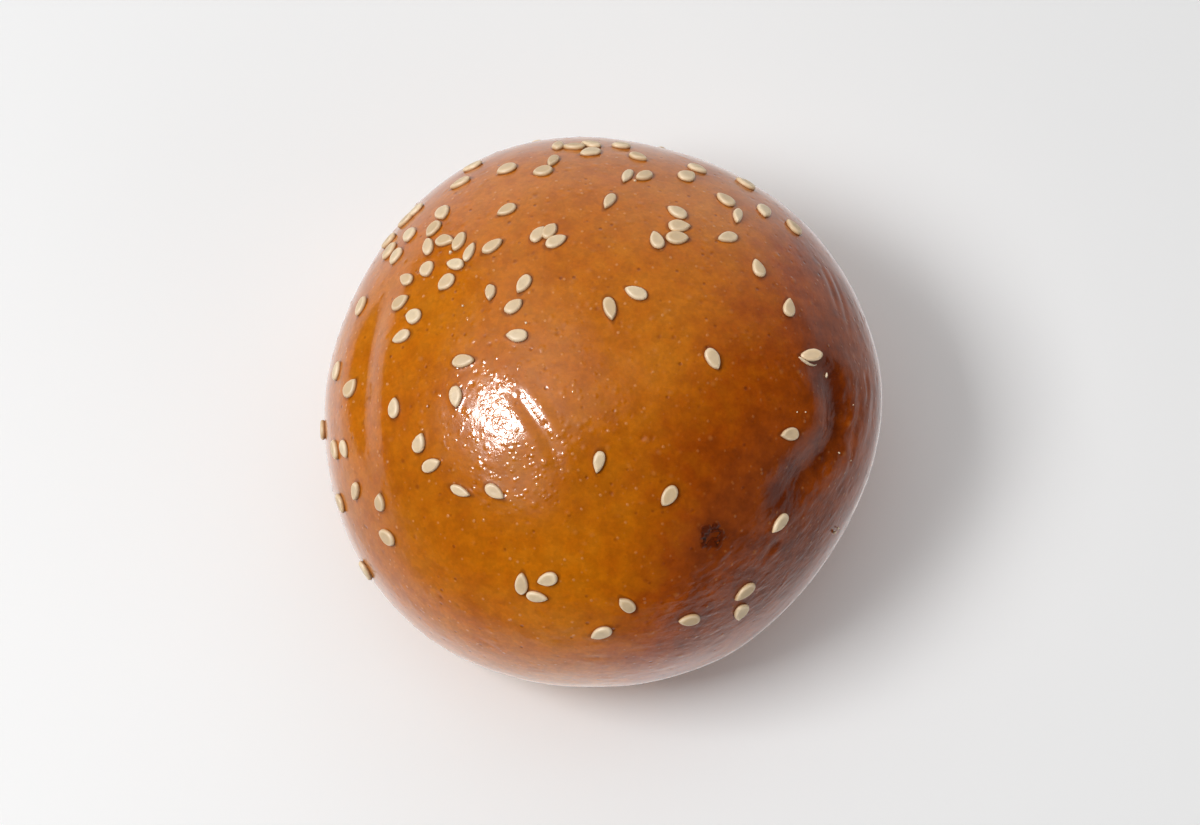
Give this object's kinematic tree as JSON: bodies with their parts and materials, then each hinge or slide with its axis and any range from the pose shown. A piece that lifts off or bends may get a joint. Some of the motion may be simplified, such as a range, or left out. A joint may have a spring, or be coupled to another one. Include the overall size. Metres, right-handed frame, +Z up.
{
  "type": "slider bun",
  "caption": "Small round domed bread roll with a glossy egg-washed crust and sesame seeds baked on top, whole and uncut, with a flat base.",
  "frame": {"origin": "middle of the flat base", "axes": "+Z up through the crown, -Y towards the front, +X to the right as seen from the front"},
  "size_m": [0.0761, 0.0769, 0.0465],
  "materials": {
    "crust": "golden-brown egg-washed crust, glossy"
  },
  "bodies": {
    "root": {"bun": "crust"}
  },
  "joints": []
}
